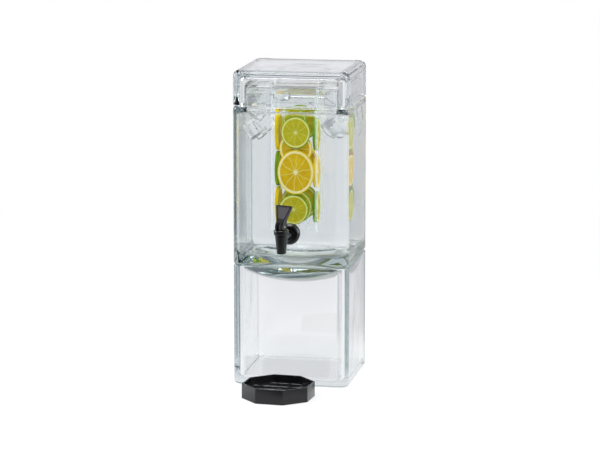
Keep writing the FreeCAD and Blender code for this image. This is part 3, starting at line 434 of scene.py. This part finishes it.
def surround(tree, direction, mirrored):
    """What stands round the object, as glass and plastic show it.

    That is a pale backdrop, greyer to its right, pale sides, a dim ceiling and a dark front. The
    whole front is dark where it is mirrored, and only its left part where it is seen through
    glass. direction has a length of 1.
    """
    split = tree.nodes.new("ShaderNodeSeparateXYZ")
    tree.links.new(direction, split.inputs[0])
    across, along, up = split.outputs
    colour = blend_colours(tree, step_up(tree, up, *CEILING_RISE), BACKDROP, CEILING)
    colour = blend_colours(tree, step_up(tree, across, *GREY_START), colour, RIGHT_GREY)
    colour = blend_colours(tree, step_up(tree, across, *RIGHT_START), colour, RIGHT_WALL)
    left = calc(tree, "MULTIPLY", across, -1)
    colour = blend_colours(tree, step_up(tree, left, *LEFT_START), colour, LEFT_WALL)
    front = step_up(tree, calc(tree, "MULTIPLY", along, -1), *FRONT_START)
    share = calc(tree, "MAXIMUM", mirrored, step_up(tree, left, *FRONT_LEFT))
    return blend_colours(tree, calc(tree, "MULTIPLY", front, share), colour, FRONT_DARK)


def add_world():
    """White for the camera, the surround for what glass and plastic show, and a plain light."""
    world = bpy.data.worlds.new("studio")
    bpy.context.scene.world = world
    world.use_nodes = True
    tree = world.node_tree
    tree.nodes.clear()
    output = tree.nodes.new("ShaderNodeOutputWorld")
    path = tree.nodes.new("ShaderNodeLightPath")
    bounced = calc(tree, "MAXIMUM", path.outputs["Is Glossy Ray"],
                   path.outputs["Is Transmission Ray"])
    direction = tree.nodes.new("ShaderNodeTexCoord").outputs["Generated"]
    plain = tree.nodes.new("ShaderNodeBackground")
    plain.inputs["Color"].default_value = (1, 1, 1, 1)
    plain.inputs["Strength"].default_value = PLAIN_LIGHT
    shown = tree.nodes.new("ShaderNodeBackground")
    tree.links.new(surround(tree, direction, path.outputs["Is Reflection Ray"]),
                   shown.inputs["Color"])
    first = tree.nodes.new("ShaderNodeMixShader")
    join(tree, (bounced, first.inputs[0]), (plain.outputs[0], first.inputs[1]),
         (shown.outputs[0], first.inputs[2]))
    white = tree.nodes.new("ShaderNodeBackground")
    white.inputs["Color"].default_value = (1, 1, 1, 1)
    second = tree.nodes.new("ShaderNodeMixShader")
    join(tree, (path.outputs["Is Camera Ray"], second.inputs[0]),
         (first.outputs[0], second.inputs[1]), (white.outputs[0], second.inputs[2]),
         (second.outputs[0], output.inputs["Surface"]))


FLOOR_REACH = 14.0
FLOOR_GLOW = 0.72
GLOW_NEAR, GLOW_FAR = 0.35, 1.6
AROUND = (0.20, 0.42)
PAPER_SCALE = 40
PAPER_DARK, PAPER_LIGHT = (0.90, 0.90, 0.90), (0.93, 0.93, 0.93)


def add_floor():
    """A wide pale floor that takes the object's shadow and turns white away from it.

    In glass and plastic it shows the backdrop near the object and the surround further out.
    """
    mesh = bpy.data.meshes.new("floor")
    form = bmesh.new()
    bmesh.ops.create_circle(form, cap_ends=True, segments=96, radius=FLOOR_REACH)
    form.to_mesh(mesh)
    form.free()
    floor = bpy.data.objects.new("floor", mesh)
    bpy.context.scene.collection.objects.link(floor)
    material, output = new_material("pale_floor")
    tree = material.node_tree
    path = tree.nodes.new("ShaderNodeLightPath")
    shown = calc(tree, "MAXIMUM", path.outputs["Is Glossy Ray"],
                 path.outputs["Is Transmission Ray"])
    shown = calc(tree, "MAXIMUM", shown, path.outputs["Is Camera Ray"])
    lit = tree.nodes.new("ShaderNodeBsdfDiffuse")
    paper = noise_value(tree, object_space(tree), PAPER_SCALE, 3.0)
    tree.links.new(blend_colours(tree, paper, PAPER_DARK, PAPER_LIGHT), lit.inputs["Color"])
    glow = tree.nodes.new("ShaderNodeEmission")
    away = tree.nodes.new("ShaderNodeVectorMath")
    away.operation = "LENGTH"
    tree.links.new(object_space(tree), away.inputs[0])
    share = step_up(tree, away.outputs["Value"], GLOW_NEAR, GLOW_FAR)
    share = calc(tree, "MULTIPLY_ADD", share, 1 - FLOOR_GLOW, FLOOR_GLOW)
    aim = tree.nodes.new("ShaderNodeVectorMath")
    aim.operation = "NORMALIZE"
    join(tree, (object_space(tree), aim.inputs[0]))
    tint = blend_colours(tree, step_up(tree, away.outputs["Value"], *AROUND), BACKDROP,
                         surround(tree, aim.outputs["Vector"],
                                  path.outputs["Is Reflection Ray"]))
    straight = path.outputs["Is Camera Ray"]
    join(tree, (blend_colours(tree, straight, tint, (1.0, 1.0, 1.0)), glow.inputs["Color"]))
    mix = tree.nodes.new("ShaderNodeMixShader")
    join(tree, (calc(tree, "MULTIPLY", shown, share), mix.inputs[0]),
         (lit.outputs[0], mix.inputs[1]), (glow.outputs[0], mix.inputs[2]),
         (mix.outputs[0], output.inputs["Surface"]))
    mesh.materials.append(material)


LAMP_AIM = (0, 0, 0.2)
LAMPS = (
    ("lamp_left", (-2.1, 0.1, 1.0), (0.7, 1.6), 30),
    ("lamp_right", (2.1, -0.2, 1.0), (0.7, 1.6), 20),
    ("lamp_top", (-0.2, -0.5, 2.4), (1.2, 1.2), 24),
)
CLEAR_BOUNCES, DIFFUSE_BOUNCES, STRAIGHT_BOUNCES = 64, 4, 32
BRIGHTEST_BOUNCE = 4


def add_lamp(name, place, size, watts):
    """A soft rectangular lamp that points at the object."""
    data = bpy.data.lights.new(name, "AREA")
    data.shape = "RECTANGLE"
    data.size, data.size_y = size
    data.energy = watts
    lamp = bpy.data.objects.new(name, data)
    bpy.context.scene.collection.objects.link(lamp)
    lamp.location = place
    lamp.rotation_euler = (Vector(place) - Vector(LAMP_AIM)).to_track_quat("Z", "Y").to_euler()


def add_stage():
    """Camera, white room, floor and lamps."""
    add_camera()
    add_world()
    add_floor()
    for lamp in LAMPS:
        add_lamp(*lamp)
    scene = bpy.context.scene
    scene.view_settings.view_transform = "Standard"
    scene.cycles.max_bounces = CLEAR_BOUNCES
    scene.cycles.transmission_bounces = CLEAR_BOUNCES
    scene.cycles.glossy_bounces = CLEAR_BOUNCES
    scene.cycles.diffuse_bounces = DIFFUSE_BOUNCES
    scene.cycles.transparent_max_bounces = STRAIGHT_BOUNCES
    scene.cycles.sample_clamp_indirect = BRIGHTEST_BOUNCE


# ---------------------------------------------------------------- mesh helpers

WELD_WITHIN = 0.000005
FLAT_WITHIN = math.radians(0.6)
BEVEL_STEPS = 3


def link_piece(name, mesh, material, body):
    """A finished mesh as a piece that rides on a body."""
    piece = bpy.data.objects.new(name, mesh)
    bpy.context.scene.collection.objects.link(piece)
    if not mesh.materials:
        mesh.materials.append(material)
    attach(piece, body)
    return piece


def smooth_all(mesh):
    """Smooth shading on every face."""
    mesh.polygons.foreach_set("use_smooth", [True] * len(mesh.polygons))
    mesh.update()


def cad_copy(node):
    """A bmesh of a node's solid, welded, with its flat faces joined into single faces."""
    form = bmesh.new()
    form.from_mesh(nodes[node].data)
    bmesh.ops.remove_doubles(form, verts=form.verts, dist=WELD_WITHIN)
    bmesh.ops.dissolve_limit(form, angle_limit=FLAT_WITHIN, verts=form.verts, edges=form.edges)
    return form


def apply_modifiers(piece):
    """Turns a piece's modifiers into its mesh."""
    bpy.context.view_layer.update()
    graph = bpy.context.evaluated_depsgraph_get()
    mesh = bpy.data.meshes.new_from_object(piece.evaluated_get(graph))
    piece.modifiers.clear()
    piece.data = mesh


def bevelled(name, node, material, body, width, sharp=35, cuts=()):
    """A node's solid with moulded edges: optional recesses, then a small round on each edge."""
    form = cad_copy(node)
    mesh = bpy.data.meshes.new(name)
    form.to_mesh(mesh)
    form.free()
    mesh.materials.append(material)
    smooth_all(mesh)
    piece = link_piece(name, mesh, material, body)
    for cutter in cuts:
        mesh.materials.append(cutter.data.materials[0])
        cut = piece.modifiers.new("recess", "BOOLEAN")
        cut.material_mode = "TRANSFER"
        cut.operation = "DIFFERENCE"
        cut.solver = "EXACT"
        cut.object = cutter
    round_edge = piece.modifiers.new("moulded_edge", "BEVEL")
    round_edge.width = width
    round_edge.segments = BEVEL_STEPS
    round_edge.limit_method = "ANGLE"
    round_edge.angle_limit = math.radians(sharp)
    round_edge.harden_normals = True
    round_edge.use_clamp_overlap = True
    apply_modifiers(piece)
    for cutter in cuts:
        bpy.data.objects.remove(cutter)
    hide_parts(node)
    return piece


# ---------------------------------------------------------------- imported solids

def dress_solids():
    """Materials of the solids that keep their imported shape."""
    looks = {
        "base_box": glass, "vessel": jar_glass, "lid": lid_glass,
        "infusion_collar": dry_plastic, "infusion_floor": wet_plastic,
        "bonnet_seal": black_rubber, "outer_washer": black_rubber,
        "inner_washer": black_rubber,
        "seat_cup": silicone, "valve_stem": stem_plastic,
        "stem_spring": steel, "handle_pin": steel,
    }
    for name, material in looks.items():
        for holder in nodes[name].material_slots:
            holder.material = material


# ---------------------------------------------------------------- water

WALL_OVERLAP = 0.2 * MM
WATER_LEVEL = 446 * MM
CAVITY_HALF, CAVITY_CORNER = 81 * MM, 12 * MM
CAVITY_FOOT, CAVITY_SHOULDER = 10 * MM, 6 * MM
NECK_HALF, NECK_CORNER = 69 * MM, 5 * MM
CAVITY_FLOOR, CAVITY_TOP = 198 * MM, 419 * MM
BOWL_RIM, BOWL_DEPTH, BOWL_FLAT = 66 * MM, 25 * MM, 4 * MM
CORNER_STEPS = 10
SIDE_STEPS = 12
BOWL_RINGS = 14
FILLET_RINGS = 6
WALL_SHARES = (0.25, 0.5, 0.75)


def square_ring(half, corner, height):
    """Points of a square with rounded corners, from the middle of the right side round."""
    points = []
    straight = half - corner
    for quarter in range(4):
        turn = Matrix.Rotation(math.radians(90 * quarter), 3, "Z")
        side = []
        for k in range(SIDE_STEPS):
            side.append(Vector((half, -straight + 2 * straight * k / SIDE_STEPS, height)))
        for k in range(CORNER_STEPS):
            angle = math.radians(90 * k / CORNER_STEPS)
            side.append(Vector((straight + corner * math.cos(angle),
                                straight + corner * math.sin(angle), height)))
        points += [turn @ p for p in side]
    return points


def round_ring(radius, height):
    """Points of a circle, as many and in the same directions as those of a square ring."""
    return [Vector((p.x, p.y, 0)).normalized() * radius + Vector((0, 0, height))
            for p in square_ring(1, 0.1, 0)]


def skin_rings(name, rings):
    """A closed mesh through a list of rings of equal counts, lowest first."""
    form = bmesh.new()
    rows = [[form.verts.new(p) for p in ring] for ring in rings]
    count = len(rows[0])
    for low, high in zip(rows, rows[1:]):
        for k in range(count):
            nxt = (k + 1) % count
            form.faces.new((low[k], low[nxt], high[nxt], high[k]))
    for row, flip in ((rows[0], True), (rows[-1], False)):
        middle = form.verts.new(sum((v.co for v in row), Vector()) / count)
        for k in range(count):
            nxt = (k + 1) % count
            corners = (row[nxt], row[k], middle) if flip else (row[k], row[nxt], middle)
            form.faces.new(corners)
    mesh = bpy.data.meshes.new(name)
    form.to_mesh(mesh)
    form.free()
    return mesh


def fillet_rings(half, corner, radius, level, up):
    """Rings along the fillet between a cavity's walls and its floor (up) or its top (down)."""
    rings = []
    for k in range(FILLET_RINGS + 1):
        angle = math.radians(90 * k / FILLET_RINGS)
        inset = radius * (1 - math.sin(angle))
        rise = radius * (1 - math.cos(angle))
        rings.append(square_ring(half - inset, corner - inset, level + (rise if up else -rise)))
    return rings if up else rings[::-1]


def add_water():
    """Water that fills the jar from the bowl in its floor to the middle of its neck."""
    rings = []
    run = BOWL_RIM - BOWL_FLAT
    sphere = (run ** 2 + BOWL_DEPTH ** 2) / (2 * BOWL_DEPTH)
    reach = sphere + WALL_OVERLAP
    for k in range(BOWL_RINGS + 1):
        angle = math.asin(run / sphere) * k / BOWL_RINGS
        rings.append(round_ring(BOWL_FLAT + reach * math.sin(angle),
                                CAVITY_FLOOR - BOWL_DEPTH + sphere - reach * math.cos(angle)))
    half, corner = CAVITY_HALF + WALL_OVERLAP, CAVITY_CORNER + WALL_OVERLAP
    rings += fillet_rings(half, corner, CAVITY_FOOT + WALL_OVERLAP,
                          CAVITY_FLOOR - WALL_OVERLAP, True)
    for share in WALL_SHARES:
        rings.append(square_ring(half, corner, CAVITY_FLOOR + (CAVITY_TOP - CAVITY_FLOOR) * share))
    rings += fillet_rings(half, corner, CAVITY_SHOULDER + WALL_OVERLAP,
                          CAVITY_TOP + WALL_OVERLAP, False)
    half, corner = NECK_HALF + WALL_OVERLAP, NECK_CORNER + WALL_OVERLAP
    rings.append(square_ring(half, corner, CAVITY_TOP + WALL_OVERLAP))
    rings.append(square_ring(half, corner, WATER_LEVEL))
    mesh = skin_rings("water", rings)
    link_piece("water", mesh, water_look, "jar")


# ---------------------------------------------------------------- ice

ICE_COUNT = 42
ICE_SIZE = (19 * MM, 25 * MM)
ICE_LOW = 382 * MM
ICE_TRIES = 4000
ICE_REACH, ICE_SPACING, ICE_SUNK, ICE_CLEAR = 0.72, 0.62, 0.35, 0.4
ICE_CUTS, ICE_BALL, ICE_MELT = 5, 0.62, 0.28
ICE_DENT, ICE_DENT_SCALE = 0.10, 90
CHAMBER_HALF = 40 * MM


def ice_cube(name, size, chance):
    """One ice cube: a box with melted corners, dented a little on every side."""
    form = bmesh.new()
    bmesh.ops.create_cube(form, size=size)
    bmesh.ops.subdivide_edges(form, edges=form.edges, cuts=ICE_CUTS, use_grid_fill=True)
    offset = Vector((chance.random(), chance.random(), chance.random())) * 10
    for vert in form.verts:
        ball = vert.co.normalized() * size * ICE_BALL
        vert.co = vert.co.lerp(ball, ICE_MELT)
        vert.co *= 1 + ICE_DENT * noise.noise(vert.co * ICE_DENT_SCALE + offset)
    mesh = bpy.data.meshes.new(name)
    form.to_mesh(mesh)
    form.free()
    smooth_all(mesh)
    return mesh


def add_ice():
    """Ice that floats round the chamber, none of it before the fruit below the jar's neck."""
    chance = random.Random(SEED)
    placed = []
    tries = 0
    while len(placed) < ICE_COUNT and tries < ICE_TRIES:
        tries += 1
        size = chance.uniform(*ICE_SIZE)
        reach = size * ICE_REACH
        high = chance.uniform(ICE_LOW, WATER_LEVEL - size * ICE_SUNK)
        limit = (CAVITY_HALF if high + reach < CAVITY_TOP else NECK_HALF) - reach
        spot = Vector((chance.uniform(-limit, limit), chance.uniform(-limit, limit), high))
        if max(abs(spot.x), abs(spot.y)) < CHAMBER_HALF + reach:
            continue
        in_front = spot.y < 0 and high < CAVITY_TOP
        if in_front and abs(spot.x) < CHAMBER_HALF + reach * ICE_CLEAR:
            continue
        if any((spot - other).length < (size + wide) * ICE_SPACING for other, wide in placed):
            continue
        placed.append((spot, size))
        name = f"ice_{len(placed):02d}"
        mesh = ice_cube(name, size, chance)
        turn = Matrix.Rotation(chance.uniform(0, math.tau), 4, Vector(
            (chance.uniform(-1, 1), chance.uniform(-1, 1), chance.uniform(-1, 1))).normalized())
        mesh.transform(Matrix.Translation(spot) @ turn)
        link_piece(name, mesh, ice_look, "jar")


# ---------------------------------------------------------------- fruit

SLICE_AROUND = 120
PULP_EDGE = 0.87
SLICE_PROFILE = (0.02, 0.08, 0.16, 0.26, 0.36, 0.46, 0.56, 0.66, 0.75, 0.82, 0.87, 0.91, 0.95,
                 0.98)
OUTER_SHARES = (0.992, 1.0)
ROUND_FROM = 0.97
UNEVEN, UNEVEN_SCALE = 0.012, 1.3
RELIEF_SEGMENTS = 9
WALL_STEEPNESS, CORE_STEEPNESS, RIM_RUN = 6, 5, 0.05
PULP_SINK = 0.35 * MM
SEGMENT_PUFF = 0.30 * MM
EDGE_ROUND = 0.5 * MM


def solid_islands(node):
    """Lowest and highest corner of each separate solid of a node."""
    form = bmesh.new()
    form.from_mesh(nodes[node].data)
    bmesh.ops.remove_doubles(form, verts=form.verts, dist=WELD_WITHIN)
    left = set(form.verts)
    boxes = []
    while left:
        stack = [left.pop()]
        group = list(stack)
        while stack:
            for edge in stack.pop().link_edges:
                for vert in edge.verts:
                    if vert in left:
                        left.remove(vert)
                        stack.append(vert)
                        group.append(vert)
        low = Vector(min(v.co[k] for v in group) for k in range(3))
        high = Vector(max(v.co[k] for v in group) for k in range(3))
        boxes.append((low, high))
    form.free()
    boxes.sort(key=lambda pair: tuple(round(edge, 4) for edge in (*pair[0], *pair[1])))
    return boxes


def slice_mesh(name, half_wide, half_high, thick, chance):
    """A fruit slice in its own plane: sunk pulp, puffed segments, pith ring and round rind."""
    form = bmesh.new()
    layer = form.loops.layers.uv.new("slice")
    start = chance.uniform(0, math.tau)
    seed = Vector((chance.uniform(0, 50), chance.uniform(0, 50), 0))
    places = {}

    def surface(share, angle):
        """Height of the slice's face above its middle plane."""
        height = thick / 2
        if share > ROUND_FROM:
            over = (share - ROUND_FROM) / (1 - ROUND_FROM)
            height -= EDGE_ROUND * (1 - math.sqrt(max(0.0, 1 - over * over)))
        if share < PULP_EDGE:
            wall = abs(((angle - start) * RELIEF_SEGMENTS / math.tau) % 1 - 0.5) * 2
            puff = math.sqrt(max(0.0, 1 - wall ** WALL_STEEPNESS))
            puff *= min(1.0, share * CORE_STEEPNESS)
            rim = min(1.0, (PULP_EDGE - share) / RIM_RUN)
            height += (SEGMENT_PUFF * puff - PULP_SINK) * rim
        return height

    def ring(share, side):
        """A ring of the slice's mesh: on its upper face (1), its rim (0) or its lower face (-1)."""
        row = []
        for k in range(SLICE_AROUND):
            angle = math.tau * k / SLICE_AROUND
            way = Vector((math.cos(angle), math.sin(angle), 0))
            uneven = 1 - UNEVEN - UNEVEN * noise.noise(way * UNEVEN_SCALE + seed)
            flat = Vector((way.x * half_wide, way.y * half_high, 0)) * share * uneven
            height = surface(share, angle) if side else 0
            vert = form.verts.new(flat + Vector((0, 0, side * height)))
            turned = angle - start
            places[vert] = (0.5 + 0.5 * share * math.cos(turned),
                            0.5 + 0.5 * share * math.sin(turned))
            row.append(vert)
        return row

    shares = [*SLICE_PROFILE, *OUTER_SHARES]
    rows = [ring(s, 1) for s in shares]
    rows.append(ring(1.0, 0))
    rows += [ring(s, -1) for s in reversed(shares)]
    for low, high in zip(rows, rows[1:]):
        for k in range(SLICE_AROUND):
            nxt = (k + 1) % SLICE_AROUND
            form.faces.new((low[k], high[k], high[nxt], low[nxt]))
    for row, side in ((rows[0], 1), (rows[-1], -1)):
        middle = form.verts.new((0, 0, side * (thick / 2 - PULP_SINK)))
        places[middle] = (0.5, 0.5)
        for k in range(SLICE_AROUND):
            nxt = (k + 1) % SLICE_AROUND
            corners = (row[k], row[nxt], middle) if side > 0 else (row[nxt], row[k], middle)
            form.faces.new(corners)
    for face in form.faces:
        for loop in face.loops:
            loop[layer].uv = places[loop.vert]
    mesh = bpy.data.meshes.new(name)
    form.to_mesh(mesh)
    form.free()
    smooth_all(mesh)
    return mesh


def add_fruit():
    """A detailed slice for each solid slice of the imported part."""
    chance = random.Random(SEED + 1)
    for fruit, node, flesh in (("lemon", "lemon_slices", lemon_flesh),
                               ("lime", "lime_slices", lime_flesh)):
        for index, (low, high) in enumerate(solid_islands(node), 1):
            size = high - low
            middle = (low + high) / 2
            faces_side = size.x < size.y
            wide = size.y if faces_side else size.x
            thick = size.x if faces_side else size.y
            mesh = slice_mesh(f"{fruit}_slice_{index}", wide / 2, size.z / 2, thick, chance)
            upright = Matrix.Rotation(math.radians(90), 4, "X")
            turn = Matrix.Rotation(math.radians(90), 4, "Z") if faces_side else Matrix()
            mesh.transform(Matrix.Translation(middle) @ turn @ upright)
            piece = link_piece(mesh.name, mesh, flesh, "infuser")
            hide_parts(node)


# ---------------------------------------------------------------- chamber

CUT_WITHIN = 0.000001


def add_chamber():
    """The infusion tube in two lengths, under water and above it."""
    for name, material, above in (("infusion_tube_wet", wet_plastic, False),
                                  ("infusion_tube_dry", dry_plastic, True)):
        form = cad_copy("infusion_tube")
        geometry = form.verts[:] + form.edges[:] + form.faces[:]
        cut = bmesh.ops.bisect_plane(
            form, geom=geometry, dist=CUT_WITHIN, plane_co=(0, 0, WATER_LEVEL),
            plane_no=(0, 0, 1), clear_inner=above, clear_outer=not above)
        rim = [e for e in cut["geom_cut"] if isinstance(e, bmesh.types.BMEdge)]
        bmesh.ops.triangle_fill(form, edges=rim, use_beauty=True)
        bmesh.ops.recalc_face_normals(form, faces=form.faces)
        mesh = bpy.data.meshes.new(name)
        form.to_mesh(mesh)
        form.free()
        mesh.materials.append(material)
        piece = link_piece(name, mesh, material, "infuser")
        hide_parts("infusion_tube")


# ---------------------------------------------------------------- tap

TAP_PIN = Vector((0, -155 * MM, 258.5 * MM))
HANDLE_TURN = math.radians(-24)
LEVER_LOW = Vector((-7.5 * MM, 1.2 * MM))
LEVER_HIGH = Vector((6.2 * MM, 31 * MM))
PANEL_LOW, PANEL_HIGH = 12.5 * MM, 29.2 * MM
PANEL_HALF_LOW, PANEL_HALF_HIGH = 5.7 * MM, 11.6 * MM
PANEL_DEEP = 0.9 * MM
PANEL_OUT = 2.0 * MM
BODY_ROUND, NUT_ROUND, HANDLE_ROUND = 0.6 * MM, 0.5 * MM, 0.4 * MM


def panel_cutter():
    """The wedge that sinks a panel into the slanted front of the handle."""
    along = LEVER_HIGH - LEVER_LOW
    outward = Vector((-along.y, along.x)).normalized()
    place = Matrix.Translation(TAP_PIN) @ Matrix.Rotation(HANDLE_TURN, 4, "Z")
    form = bmesh.new()
    rows = []
    for shift in (-PANEL_DEEP, PANEL_OUT):
        row = []
        for half, height in ((PANEL_HALF_LOW, PANEL_LOW), (PANEL_HALF_HIGH, PANEL_HIGH)):
            share = (height - LEVER_LOW.y) / along.y
            spot = LEVER_LOW + along * share + outward * shift
            row += [(-half, *spot), (half, *spot)]
        rows.append([form.verts.new(place @ Vector(p)) for p in row])
    deep, out = rows
    loop = (0, 1, 3, 2)
    form.faces.new([deep[k] for k in loop])
    form.faces.new([out[k] for k in reversed(loop)])
    for k in range(4):
        here, there = loop[k], loop[(k + 1) % 4]
        form.faces.new((deep[there], deep[here], out[here], out[there]))
    bmesh.ops.recalc_face_normals(form, faces=form.faces)
    mesh = bpy.data.meshes.new("panel_cutter")
    form.to_mesh(mesh)
    form.free()
    mesh.materials.append(panel_plastic)
    cutter = bpy.data.objects.new("panel_cutter", mesh)
    bpy.context.scene.collection.objects.link(cutter)
    return cutter


def add_tap():
    """Tap body, bonnet and nut with moulded edges, and the handle with its sunk front panel."""
    bevelled("tap_body", "faucet_body", black_plastic, "jar", BODY_ROUND)
    bevelled("tap_bonnet", "bonnet", black_plastic, "jar", BODY_ROUND)
    bevelled("tap_nut", "shank_nut", black_plastic, "jar", NUT_ROUND)
    bevelled("tap_handle", "handle", black_plastic, "handle", HANDLE_ROUND,
             cuts=(panel_cutter(),))


# ---------------------------------------------------------------- tray

TRAY_ROUND, GRATE_ROUND = 0.4 * MM, 0.3 * MM
TRAY_SHARP = 25


def add_tray():
    """Drip tray and grate with moulded edges."""
    bevelled("tray_shell", "drip_tray", tray_plastic, "tray", TRAY_ROUND,
             TRAY_SHARP)
    bevelled("tray_grate", "drip_grate", grate_plastic, "grate", GRATE_ROUND,
             TRAY_SHARP)


add_stage()
dress_solids()
add_water()
add_ice()
add_fruit()
add_chamber()
add_tap()
add_tray()
